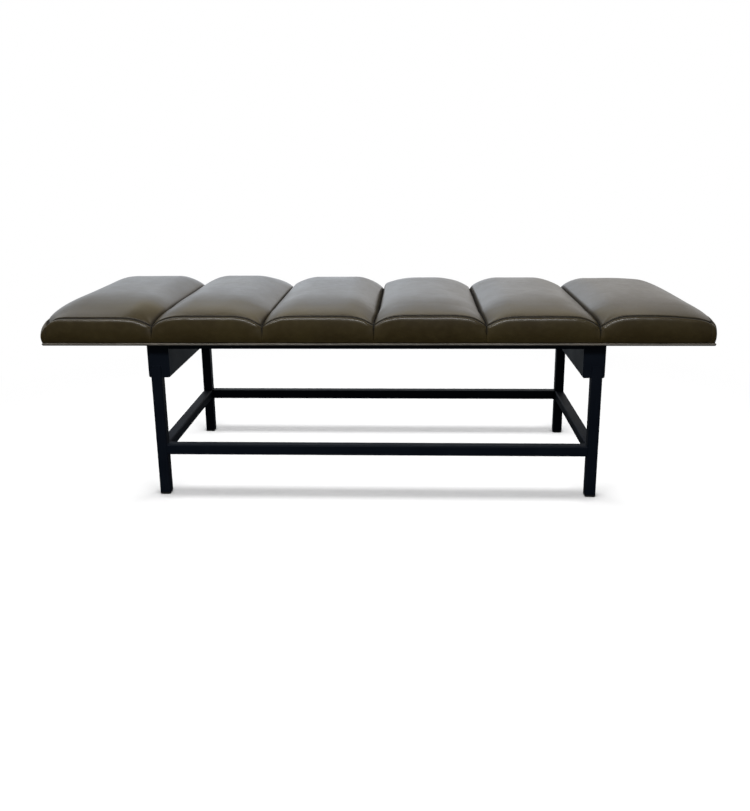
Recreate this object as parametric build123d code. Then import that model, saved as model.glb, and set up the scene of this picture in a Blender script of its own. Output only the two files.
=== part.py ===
from build123d import *
import os

# Upholstered bench: six stuffed leather channels over a board, on a welded base of black steel tube.
# Millimetres. X runs along the length, Y from front to back, Z up. The origin is on the floor,
# under the middle of the seat.

# Overall size. The end channels are a little fuller than their pitch
channel_count = 6
channel_pitch = 254.0
end_fullness = 4.0
seat_length = channel_count * channel_pitch + 2 * end_fullness
seat_depth = 508.0
seat_height = 466.0

# Board, base foam and the cloth under them
board_thick = 18.0
board_corner_radius = 2.0
base_foam_thick = 25.0
dust_cover_thick = 1.0
dust_cover_margin = 12.0

# Channels: how far the valleys lie above the base foam, and the crowns above the valleys
valley_rise = 3.0
crown_rise = 47.0

# Leather cover and its padding. The boxing bulges most at its own height above the board's underside
leather_thick = 2.0
padding_gap = 0.3
channel_gap = 0.4
boxing_bulge_height = 25.0
boxing_bulge = 3.0
boxing_bow = 3.0
seam_corner_radius = 3.0
welt_diameter = 5.0
welt_gap = 0.1

# Tube of the legs and stretchers, and how far the seat reaches past the base
tube_size = 25.0
tube_wall = 3.0
tube_inside_radius = 0.5
end_overhang = 245.0
face_overhang = 19.0
stretcher_height = 101.0

# Bearers that run from front to back over each pair of legs
bearer_width = 50.0
bearer_height = 80.0
bearer_wall = 3.0
bearer_inside_radius = 1.0
bearer_lip = 5.0
bearer_cap_thick = 3.0
leg_tab_height = 28.0

# Flat bars between the bearers, under the board
rail_width = 40.0
rail_thick = 12.0
rail_setback = 2.0

# Plastic glides in the feet
glide_height = 5.0
glide_chamfer = 2.0
glide_stem_length = 16.0
glide_fit_gap = 0.1

# Bolts, washers and tee nuts that hold the seat to the rails
bolt_radius = 3.0
bolt_head_radius = 5.5
bolt_head_height = 3.3
bolt_socket_size = 4.0
bolt_socket_depth = 2.0
bolt_point_gap = 2.0
bolts_per_rail = 3
bolt_end_margin = 116.0
bolt_line_setback = 8.0
bolt_hole_gap = 0.5
washer_radius = 8.0
washer_thick = 1.6
nut_barrel_wall = 1.0
nut_barrel_length = 11.0
nut_flange_radius = 9.5
nut_flange_thick = 1.2
nut_thread_gap = 0.05
nut_fit_gap = 0.1

# Heights, from the crown of the seat down
valley_level = seat_height - crown_rise
base_foam_top = valley_level - valley_rise
board_top = base_foam_top - base_foam_thick
board_bottom = board_top - board_thick
frame_top = board_bottom - dust_cover_thick
bearer_bottom = frame_top - bearer_height
rail_bottom = frame_top - rail_thick
boxing_foot = board_bottom + welt_diameter + welt_gap

# Plan sizes of the seat. The board's edge lies inside the welt, which lies inside the boxing's bulge
skirt_thick = welt_diameter + welt_gap
board_length = seat_length - 2 * (boxing_bulge + skirt_thick)
board_depth = seat_depth - 2 * (boxing_bulge + skirt_thick)
end_corner_radius = board_corner_radius + skirt_thick

# Sizes worked out from the others
tube_corner_radius = tube_inside_radius + tube_wall
bearer_corner_radius = bearer_inside_radius + bearer_wall
nut_barrel_radius = bolt_radius + nut_barrel_wall

# Places of the base
base_length = seat_length - 2 * end_overhang
base_depth = seat_depth - 2 * face_overhang
leg_x = base_length / 2 - tube_size / 2
leg_y = base_depth / 2 - tube_size / 2
bearer_x = base_length / 2 + bearer_lip - bearer_width / 2
bearer_length = base_depth - 2 * tube_wall
rail_y = bearer_length / 2 - rail_setback - rail_width / 2
rail_length = 2 * bearer_x - bearer_width
bolt_spacing = (rail_length - 2 * bolt_end_margin) / (bolts_per_rail - 1)

# Form of a channel above its valley, one row per level. Each row holds shares: the height between
# the valley and the crown, the inset at the front and back as a share of the seat's depth, the inset
# at a seam and at the seat's end as shares of the channel's pitch, and the same for the corners
crown_row_shares = [
    (0.00, 0.001, 0.000, 0.002, 0.024, 0.030),
    (0.20, 0.004, 0.018, 0.010, 0.055, 0.060),
    (0.38, 0.016, 0.044, 0.034, 0.095, 0.120),
    (0.62, 0.055, 0.094, 0.095, 0.155, 0.190),
    (0.82, 0.115, 0.165, 0.190, 0.190, 0.230),
    (0.95, 0.195, 0.260, 0.330, 0.180, 0.200),
    (1.00, 0.280, 0.370, 0.430, 0.060, 0.060),
]

sides = {"left": -1, "right": 1}
faces = {"front": -1, "back": 1}


def cushion_outline(level, low_x, high_x, half_y, bow, left_radius, right_radius, left_bow, right_bow):
    """A channel's outline at one height: bowed front and back, four corners and two sides."""
    near_y = half_y - bow
    corners = [
        (low_x, near_y - left_radius),
        (low_x, -near_y + left_radius),
        (low_x + left_radius, -near_y),
        (high_x - right_radius, -near_y),
        (high_x, -near_y + right_radius),
        (high_x, near_y - right_radius),
        (high_x - right_radius, near_y),
        (low_x + left_radius, near_y),
    ]
    p = [Vector(x, y, level) for x, y in corners]
    mid_x = (low_x + high_x) / 2
    edges = [
        bowed_edge(p[0], p[1], Vector(low_x - left_bow, 0, level), left_bow),
        RadiusArc(p[1], p[2], -left_radius),
        bowed_edge(p[2], p[3], Vector(mid_x, -half_y, level), bow),
        RadiusArc(p[3], p[4], -right_radius),
        bowed_edge(p[4], p[5], Vector(high_x + right_bow, 0, level), right_bow),
        RadiusArc(p[5], p[6], -right_radius),
        bowed_edge(p[6], p[7], Vector(mid_x, half_y, level), bow),
        RadiusArc(p[7], p[0], -left_radius),
    ]
    return make_face(Wire(edges))


def bowed_edge(start, end, middle, bow):
    """An arc through the middle point where there is a bow, otherwise a straight line."""
    if bow > 0:
        return ThreePointArc(start, middle, end)
    return Line(start, end)


def channel_levels(skin):
    """The levels of a channel's form, drawn in by a skin: height, insets, corners and bow."""
    rows = [
        (boxing_foot, boxing_bulge, 0, boxing_bulge, seam_corner_radius, end_corner_radius, 0),
        (board_bottom + boxing_bulge_height, 0, 0, 0, seam_corner_radius, end_corner_radius, boxing_bow),
    ]
    for height, front, seam, end, seam_corner, end_corner in crown_row_shares:
        rows.append((
            valley_level + height * crown_rise,
            front * seat_depth,
            seam * channel_pitch,
            end * channel_pitch,
            seam_corner * channel_pitch,
            end_corner * channel_pitch,
            boxing_bow,
        ))
    if skin == 0:
        return rows
    inner = [row for row in rows if row[0] - skin > base_foam_top]
    foot = (base_foam_top + skin,) + inner[0][1:]
    return [
        (level - skin, front + skin, seam + skin, end + skin, seam_corner, end_corner, bow)
        for level, front, seam, end, seam_corner, end_corner, bow in [foot] + inner
    ]


def channel_form(index, skin):
    """The stuffed form of one channel, as it is or drawn in by a skin."""
    at_left = index == 0
    at_right = index == channel_count - 1
    valley_x = (index - channel_count / 2) * channel_pitch
    low_x = -seat_length / 2 if at_left else valley_x
    high_x = seat_length / 2 if at_right else valley_x + channel_pitch
    outlines = []
    for level, front, seam, end, seam_corner, end_corner, bow in channel_levels(skin):
        left_bow = bow if at_left else 0
        right_bow = bow if at_right else 0
        outlines.append(cushion_outline(
            level,
            low_x + (end + left_bow if at_left else seam + channel_gap / 2),
            high_x - (end + right_bow if at_right else seam + channel_gap / 2),
            seat_depth / 2 - front,
            bow,
            end_corner if at_left else seam_corner,
            end_corner if at_right else seam_corner,
            left_bow,
            right_bow,
        ))
    return loft(outlines, ruled=True)


def slab(length, depth, radius, bottom, top):
    """A flat slab with round corners in plan."""
    return Pos(0, 0, bottom) * extrude(RectangleRounded(length, depth, radius), top - bottom)


def make_channel_cover(index):
    """Leather of one channel: top, both ends' boxing, and the walls sewn down into the valleys."""
    pocket = slab(board_length, board_depth, board_corner_radius, board_bottom, base_foam_top)
    return channel_form(index, 0) - pocket - channel_form(index, leather_thick)


def make_channel_foam(index):
    """Stuffing of one channel."""
    return channel_form(index, leather_thick + padding_gap)


def bolt_places():
    """Where the seat bolts stand, in plan."""
    first = -(bolts_per_rail - 1) / 2
    return [
        ((first + i) * bolt_spacing, face * (rail_y - bolt_line_setback))
        for face in faces.values()
        for i in range(bolts_per_rail)
    ]


def at_bolts(shape):
    """One copy of a shape at each seat bolt."""
    return [Pos(x, y, 0) * shape for x, y in bolt_places()]


def post(radius, bottom, top):
    """An upright round post or hole on the Z axis."""
    return Pos(0, 0, bottom) * Cylinder(radius, top - bottom, align=(Align.CENTER, Align.CENTER, Align.MIN))


def make_board():
    """Plywood board with a hole for each tee nut."""
    board = slab(board_length, board_depth, board_corner_radius, board_bottom, board_top)
    return board - at_bolts(post(nut_barrel_radius + nut_fit_gap, board_bottom, board_top))


def make_base_foam():
    """Foam slab on the board, hollowed over the flanges of the tee nuts."""
    foam = slab(board_length, board_depth, board_corner_radius, board_top, base_foam_top)
    flange_top = board_top + nut_flange_thick + nut_fit_gap
    return foam - at_bolts(post(nut_flange_radius + nut_fit_gap, board_top, flange_top))


def make_dust_cover():
    """Black cloth over the underside of the board."""
    cover = slab(
        board_length - 2 * dust_cover_margin,
        board_depth - 2 * dust_cover_margin,
        board_corner_radius,
        frame_top,
        board_bottom,
    )
    return cover - at_bolts(post(bolt_radius + bolt_hole_gap, frame_top, board_bottom))


def make_welt():
    """Leather-covered cord round the lower edge of the seat."""
    inset = boxing_bulge + welt_diameter / 2
    half_x = seat_length / 2 - inset
    half_y = seat_depth / 2 - inset
    radius = end_corner_radius - welt_diameter / 2
    path = RectangleRounded(2 * half_x, 2 * half_y, radius).face().outer_wire()
    ring = Pos(0, 0, board_bottom + welt_diameter / 2) * path
    start = ring.position_at(0)
    section = Plane(origin=start, z_dir=ring.tangent_at(0)) * Circle(welt_diameter / 2)
    return sweep(section, path=ring)


def square_tube(width, height, wall, corner, length):
    """A hollow tube along Z with round corners, from the origin up."""
    outside = RectangleRounded(width, height, corner)
    inside = RectangleRounded(width - 2 * wall, height - 2 * wall, corner - wall)
    return extrude(outside - inside, length)


def make_leg(side, face):
    """Leg tube. Its outer wall runs up past the bearer's underside as a tab on the bearer's end."""
    length = bearer_bottom + leg_tab_height - glide_height
    tube = square_tube(tube_size, tube_size, tube_wall, tube_corner_radius, length)
    tube = Pos(side * leg_x, face * leg_y, glide_height) * tube
    upright = (Align.CENTER, Align.CENTER, Align.MIN)
    notch = Box(tube_size, tube_size - tube_wall, leg_tab_height, align=upright)
    return tube - Pos(side * leg_x, face * (leg_y - tube_wall / 2), bearer_bottom) * notch


def make_glide(side, face):
    """Plastic glide: a chamfered foot plate and a stem inside the tube."""
    foot = extrude(RectangleRounded(tube_size, tube_size, tube_corner_radius), glide_height)
    foot = chamfer(foot.faces().sort_by(Axis.Z)[0].edges(), glide_chamfer)
    stem_size = tube_size - 2 * (tube_wall + glide_fit_gap)
    stem = Box(stem_size, stem_size, glide_stem_length, align=(Align.CENTER, Align.CENTER, Align.MIN))
    stem = chamfer(stem.edges().filter_by(Axis.Z), tube_inside_radius + glide_fit_gap)
    return Pos(side * leg_x, face * leg_y, 0) * (foot + Pos(0, 0, glide_height) * stem)


def make_long_stretcher(face):
    """Stretcher between the two legs at the front or the back."""
    length = base_length - 2 * tube_size
    tube = square_tube(tube_size, tube_size, tube_wall, tube_corner_radius, length)
    return Pos(-length / 2, face * leg_y, stretcher_height + tube_size / 2) * (Rot(0, 90, 0) * tube)


def make_end_stretcher(side):
    """Stretcher between the front and back legs of one end."""
    length = base_depth - 2 * tube_size
    tube = square_tube(tube_size, tube_size, tube_wall, tube_corner_radius, length)
    return Pos(side * leg_x, length / 2, stretcher_height + tube_size / 2) * (Rot(90, 0, 0) * tube)


def make_bearer(side):
    """Deep tube over the legs of one end, from front to back."""
    length = bearer_length - 2 * bearer_cap_thick
    tube = square_tube(bearer_width, bearer_height, bearer_wall, bearer_corner_radius, length)
    return Pos(side * bearer_x, length / 2, bearer_bottom + bearer_height / 2) * (Rot(90, 0, 0) * tube)


def make_bearer_cap(side, face):
    """Plate that closes one end of a bearer."""
    plate = extrude(RectangleRounded(bearer_width, bearer_height, bearer_corner_radius), bearer_cap_thick)
    plate = Pos(0, bearer_cap_thick / 2, 0) * (Rot(90, 0, 0) * plate)
    middle_y = face * (bearer_length - bearer_cap_thick) / 2
    return Pos(side * bearer_x, middle_y, bearer_bottom + bearer_height / 2) * plate


def make_rail(face):
    """Flat bar between the bearers, drilled for the seat bolts."""
    bar = Pos(0, face * rail_y, rail_bottom + rail_thick / 2) * Box(rail_length, rail_width, rail_thick)
    return bar - at_bolts(post(bolt_radius + bolt_hole_gap, rail_bottom, frame_top))


def make_bolts():
    """Seat bolts, from under the rails up into the tee nuts."""
    head_top = rail_bottom - washer_thick
    head_bottom = head_top - bolt_head_height
    head = post(bolt_head_radius, head_bottom, head_top)
    head = fillet(head.faces().sort_by(Axis.Z)[0].edges(), bolt_head_height / 2)
    socket = extrude(RegularPolygon(bolt_socket_size / 2, 6, major_radius=False), bolt_socket_depth)
    bolt = head - Pos(0, 0, head_bottom) * socket + post(bolt_radius, head_top, board_top - bolt_point_gap)
    return at_bolts(bolt)


def make_washers():
    """Flat washers between the bolt heads and the rails."""
    bottom = rail_bottom - washer_thick
    washer = post(washer_radius, bottom, rail_bottom)
    return at_bolts(washer - post(bolt_radius + bolt_hole_gap, bottom, rail_bottom))


def make_tee_nuts():
    """Tee nuts let into the board from above."""
    flange = post(nut_flange_radius, board_top, board_top + nut_flange_thick)
    barrel = post(nut_barrel_radius, board_top - nut_barrel_length, board_top)
    bore = post(bolt_radius + nut_thread_gap, board_top - nut_barrel_length, board_top + nut_flange_thick)
    return at_bolts(flange + barrel - bore)


def build():
    """Every piece of the bench by its name."""
    pieces = {
        "seat_board": make_board(),
        "base_foam": make_base_foam(),
        "dust_cover": make_dust_cover(),
        "welt": make_welt(),
        "seat_bolts": Compound(make_bolts()),
        "bolt_washers": Compound(make_washers()),
        "tee_nuts": Compound(make_tee_nuts()),
    }
    for index in range(channel_count):
        pieces[f"channel_cover_{index + 1}"] = make_channel_cover(index)
        pieces[f"channel_foam_{index + 1}"] = make_channel_foam(index)
    for face_name, face in faces.items():
        pieces[f"top_rail_{face_name}"] = make_rail(face)
        pieces[f"stretcher_{face_name}"] = make_long_stretcher(face)
    for side_name, side in sides.items():
        pieces[f"bearer_{side_name}"] = make_bearer(side)
        pieces[f"stretcher_{side_name}"] = make_end_stretcher(side)
        for face_name, face in faces.items():
            pieces[f"leg_{face_name}_{side_name}"] = make_leg(side, face)
            pieces[f"glide_{face_name}_{side_name}"] = make_glide(side, face)
            pieces[f"bearer_cap_{face_name}_{side_name}"] = make_bearer_cap(side, face)
    return pieces


os.makedirs("parts", exist_ok=True)
for name, piece in build().items():
    export_step(piece, f"parts/{name}.step")
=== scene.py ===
import math

import bpy
import numpy as np
from mathutils import Matrix, Vector, noise


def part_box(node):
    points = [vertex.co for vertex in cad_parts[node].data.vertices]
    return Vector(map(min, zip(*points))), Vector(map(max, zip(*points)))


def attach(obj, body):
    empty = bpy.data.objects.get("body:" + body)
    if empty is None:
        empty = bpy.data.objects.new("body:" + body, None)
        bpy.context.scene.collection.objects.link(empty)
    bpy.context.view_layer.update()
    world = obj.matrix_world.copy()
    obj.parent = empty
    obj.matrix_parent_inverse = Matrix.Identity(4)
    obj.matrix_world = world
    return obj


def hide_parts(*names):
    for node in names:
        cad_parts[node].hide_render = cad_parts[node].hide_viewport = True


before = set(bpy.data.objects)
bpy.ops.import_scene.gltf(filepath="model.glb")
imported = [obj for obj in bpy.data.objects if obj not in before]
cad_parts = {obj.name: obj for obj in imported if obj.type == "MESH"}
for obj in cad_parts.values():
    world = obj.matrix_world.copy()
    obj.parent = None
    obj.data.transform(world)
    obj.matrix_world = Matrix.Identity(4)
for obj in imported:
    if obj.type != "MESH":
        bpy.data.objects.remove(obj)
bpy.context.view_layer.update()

mm = 0.001
full_turn = 6.28

# Image and camera, fitted to the photograph: focal length, principal point in pixels, angles, place
image_width, image_height = 750, 811
focal_pixels = 802.46
principal_x, principal_y = 382.44, 350.0
camera_pitch = math.radians(14.087)
camera_yaw = math.radians(-2.225)
camera_roll = math.radians(-0.508)
camera_place = Vector((88.1, -2010.8, 804.8)) * mm
sensor_size = 36.0

# Places read from the frame
channel_count = sum(name.startswith("channel_cover_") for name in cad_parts)
seat_low, seat_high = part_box("channel_cover_1")[0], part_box(f"channel_cover_{channel_count}")[1]
board_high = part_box("seat_board")[1]
foam_low, foam_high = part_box("base_foam")
cloth_low, cloth_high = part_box("dust_cover")
welt_low, welt_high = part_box("welt")
bearer_low, bearer_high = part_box("bearer_right")
half_depth = seat_high.y
foot_level = seat_low.z
channel_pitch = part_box("channel_cover_3")[0].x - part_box("channel_cover_2")[0].x

# Form of the channels: heights over the valleys, and widths of the slopes that lead down to the seams.
# Where a value differs by end, -1 is the seat's left end and 1 its right end
valley_rise = 3 * mm
valley_level = foam_high.z + valley_rise
valley_dips, valley_dip_reach = (4 * mm, 4 * mm, 1 * mm, 3 * mm, 6 * mm), 22 * mm
valley_shifts, valley_shift_reach = (18 * mm, 12 * mm, 8 * mm, -8 * mm, -12 * mm), 90 * mm
corner_dip, corner_dip_width, corner_dip_reach = {-1: 10 * mm, 1: 5 * mm}, 40 * mm, 30 * mm
end_fall = {-1: (6 * mm, 60 * mm), 1: (9 * mm, 150 * mm)}
front_slope, back_slope = 142 * mm, 112 * mm
front_power, back_power = 2.4, 2.8
flank_power, wall_round = 2.0, 2.5 * mm
seam_shoulder, seam_shoulder_power, seam_shoulder_reach = 110 * mm, 4.2, 70 * mm
end_share = 0.1
shrink_low_share, shrink_high_share = 0.1, 0.8
far_away = 1000 * mm

# Form of the boxing: insets of its foot and seam, the roll under the seam, corners and grooves
boxing_bow = 3 * mm
end_bow = {-1: 0.5 * mm, 1: 2.5 * mm}
foot_inset, end_foot_inset = 3 * mm, 1.5 * mm
bulge_level_share = 0.36
face_lean, end_lean = 4 * mm, 3.5 * mm
roll_radius, roll_inset = 13 * mm, 6 * mm
boxing_corner, boxing_corner_power = 3.5 * mm, 4
seam_corner = {-1: 30 * mm, 1: 14 * mm}
groove_width, groove_power = 22 * mm, 2.5
groove_at_foot = 0.6 * mm
groove_at_seam = 8 * mm
pocket_gap = 0.5 * mm
pocket_thick = 1.5 * mm

# Hand-made differences between the channels. Each row holds the width of the left and the right shoulder
# and the share of it that stands upright in the valley, how far the crown stands above the frame's, and
# the front seam above the valleys
channel_traits = [
    (84 * mm, 0.25, 64 * mm, 0.4, 6 * mm, 18 * mm),
    (78 * mm, 0.42, 104 * mm, 0.3, 5.8 * mm, 22 * mm),
    (76 * mm, 0.5, 75 * mm, 0.2, 1.7 * mm, 22 * mm),
    (96 * mm, 0.6, 108 * mm, 0.35, -1.7 * mm, 23 * mm),
    (75 * mm, 0.38, 88 * mm, 0.34, -1.5 * mm, 20 * mm),
    (60 * mm, 0.42, 62 * mm, 0.0, -4.2 * mm, 22 * mm),
]

# Leather mesh: quads across a channel, along it and up the boxing, before they are halved
columns, rows, levels = 44, 84, 14
column_ease, row_ease = 0.8, 0.75
level_power = 1.4

# Cloth simulation of the leather
sim_frames, sim_quality = 20, 6
sim_cap = 6 * mm
sim_growth = 2.5 * mm
sim_pressure, sim_mass = 4.0, 0.4
sim_stretch_stiffness, sim_shear_stiffness, sim_bend_stiffness = 24, 12, 8
calm_passes = 10
wrinkle_share = 0.2

# Seams, puckers and folds, and the painted shade that darkens the seams and valleys. The detail fades
# out near the valleys and the foot of the boxing
seam_depth, seam_width, seam_width_on_top = 2.8 * mm, 2.2 * mm, 0.9 * mm
# Corner seams on the end channels: their place, depth share and share of painted shade, and where they
# fade out at the foot and the top
corner_seam_place, corner_seam_share, corner_shade_share = 12 * mm, 0.35, 0.5
corner_seam_low_share, corner_seam_high_share = 0.08, 0.9
# Painted shade: width of the dark line on the seams, how far it reaches down the boxing, its width in
# the valleys on the top and on the boxing, and how it fades in up the boxing
seam_shade_width, shade_drop, shade_drop_full = 1.3 * mm, 3.6 * mm, 1.4 * mm
valley_shade, boxing_valley_shade = 4.5 * mm, 2.5 * mm
valley_shade_low_share, valley_shade_high_share = 0.25, 0.9
pucker_height, pucker_reach, pucker_fade = 0.32 * mm, 9 * mm, 10 * mm
pucker_share_on_top, pucker_share_below = 0.5, 1.2
pucker_waves, pucker_shortest, pucker_longest = 6, 16 * mm, 70 * mm
pucker_turn_per_metre, pucker_start_share = 40, 1.2
fold_height, fold_reach, fold_fade = 0.6 * mm, 18 * mm, 9 * mm
fold_counts, fold_second_share, fold_start = (5, 9), 0.5, 0.1 * mm
sway_height, sway_size = 0.6 * mm, 110 * mm
drag_height, drag_place, drag_reach = 0.14 * mm, 60 * mm, 34 * mm
drag_length, drag_width, drag_least = 130 * mm, 17 * mm, 0.001 * mm
detail_fade, detail_foot_share = 4 * mm, 0.06
detail_seed, detail_shift = 40, 7.3

# Base foam under the channels: round edges, and dents along the valleys
foam_edge_inset, foam_edge_radius = 1 * mm, 18 * mm
foam_dent_depth, foam_dent_width = 5 * mm, 16 * mm
foam_columns, foam_column_ease, foam_rows, foam_row_ease = 240, 0.3, 60, 0.7

# Welt: a cord in leather with a flange under the board
welt_radius = (welt_high.z - welt_low.z) / 2
welt_step = 5 * mm
welt_corner, welt_corner_steps, welt_spread = 1.5 * mm, 6, 1 * mm
welt_least_bend = 0.3 * mm
bead_angles = range(-60, 240, 20)
flange_width, flange_thick = 11 * mm, 0.7 * mm
welt_join_x, welt_join_width, welt_join_share = 140 * mm, 9 * mm, 0.16
welt_seed, welt_waves, welt_shortest, welt_longest, welt_wave_share = 7, 6, 11 * mm, 60 * mm, 0.05
welt_sway, welt_sway_size, welt_side_phase = 0.25 * mm, 70 * mm, 1.7

# Dust cloth and its staples
cloth_thick = 0.5 * mm
cloth_wave, cloth_wave_size = 0.1 * mm, 60 * mm
cloth_columns, cloth_column_ease, cloth_rows, cloth_row_ease = 150, 0.5, 60, 0.6
hem_width, hem_fold_share, hem_extra = 9 * mm, 0.8, 0.15 * mm
staple_pitch, staple_length = 42 * mm, 10 * mm
staple_width, staple_thick, staple_inset = 1.2 * mm, 0.45 * mm, 3 * mm
staple_path_shares = [(-0.5, 0.9), (-0.48, 0.1), (-0.43, -0.3), (0.43, -0.3), (0.48, 0.1), (0.5, 0.9)]
staple_section_shares = [
    (0.5, 0.2), (0.3, 0.5), (-0.3, 0.5), (-0.5, 0.2),
    (-0.5, -0.2), (-0.3, -0.5), (0.3, -0.5), (0.5, -0.2),
]

# World: the bright wall behind, between directions as parts of a unit vector, and the darker rest
wall_strength, ceiling_strength, front_strength = 1.07, 0.21, 0.16
wall_start, wall_top, ceiling_start = (0.0, 0.6), (0.68, 0.98), (-0.75, 0.1)
wall_left, wall_left_share = (-0.6, -0.15), 0.6
wall_right, wall_right_share = (-0.1, 0.42), 0.5
wall_warming, wall_cool, wall_warm = (-0.1, 0.35), (0.83, 0.9, 1, 1), (0.97, 0.94, 0.92, 1)

# Floor: where it fades to white, how bright it is in reflections, and its lamp. Lengths in metres
floor_size, floor_cells, floor_gap = 14.0, 48, 0.3 * mm
floor_share, floor_fade = 0.223, (0.9, 1.6)
floor_front_gloss, floor_back_gloss, floor_gloss_turn = 0.03, 0.6, (0.3, 1.2)
floor_soft_light, floor_tint = 0.13, (0.85, 0.93, 1, 1)
floor_lamp_y, floor_lamp_height = -0.35, 6
floor_lamp_watts, floor_lamp_length, floor_lamp_depth = 1750, 2.6, 3.1

# Lamps that light the bench alone: place, aim, length and width in metres, watts and colour
lamps = {
    "front_strip": ((-0.2, -1.5, 2.05), (-0.05, -0.25, 0.42), 2.6, 0.26, 36, (1, 1, 1)),
    "upper_left": ((-1.9, 0.3, 2.1), (0, 0, 0.4), 1.6, 1.6, 12, (1, 1, 1)),
    "front_fill": ((0.6, -3.0, 1.7), (0, 0, 0.35), 1.8, 1.2, 4, (1, 1, 1)),
    "over_back": ((0, 1.2, 2.2), (0, -0.1, 0.43), 2.6, 0.8, 5, (1, 0.82, 0.45)),
}


def smooth_step(value, low, high):
    """0 below low, 1 above high and a smooth turn between."""
    t = np.clip((value - low) / (high - low), 0, 1)
    return t * t * (3 - 2 * t)


def slope(distance, width, power):
    """Share of the rise reached at a distance from a seam: a firm slope that flattens at the width."""
    return 1 - (1 - np.clip(distance / width, 0, 1)) ** power


def flank(distance, width, wall):
    """Share of the rise reached at a distance from a valley: an upright wall, and a slope above it."""
    return wall * (1 - np.exp(-distance / wall_round)) + (1 - wall) * slope(distance, width, flank_power)


def round_rise(distance, width):
    """Share of the rise reached at a distance from a seam, as a quarter of a wave."""
    return np.sin(math.pi / 2 * np.clip(distance / width, 0, 1))


def crowd(count, ease):
    """Stations from 0 to 1 that crowd towards both ends."""
    even = np.linspace(0, 1, count + 1)
    return (1 - ease) * even + ease * (1 - np.cos(np.pi * even)) / 2


def round_corner(x, y, edge_x, edge_y, inward_x, inward_y, radius):
    """Moves the points near a square corner in plan onto a round one."""
    s = np.clip(1 - (x - edge_x) * inward_x / radius, 0, 1)
    t = np.clip(1 - (y - edge_y) * inward_y / radius, 0, 1)
    moved_x = x + inward_x * radius * s * (1 - np.sqrt(1 - t * t / 2))
    moved_y = y + inward_y * radius * t * (1 - np.sqrt(1 - s * s / 2))
    return moved_x, moved_y


def grid_quads(grid, turned=False):
    """Quads over a grid of vertex numbers."""
    corners = [grid[:-1, :-1], grid[:-1, 1:], grid[1:, 1:], grid[1:, :-1]]
    if turned:
        corners.reverse()
    return np.stack([c.ravel() for c in corners], 1)


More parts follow.
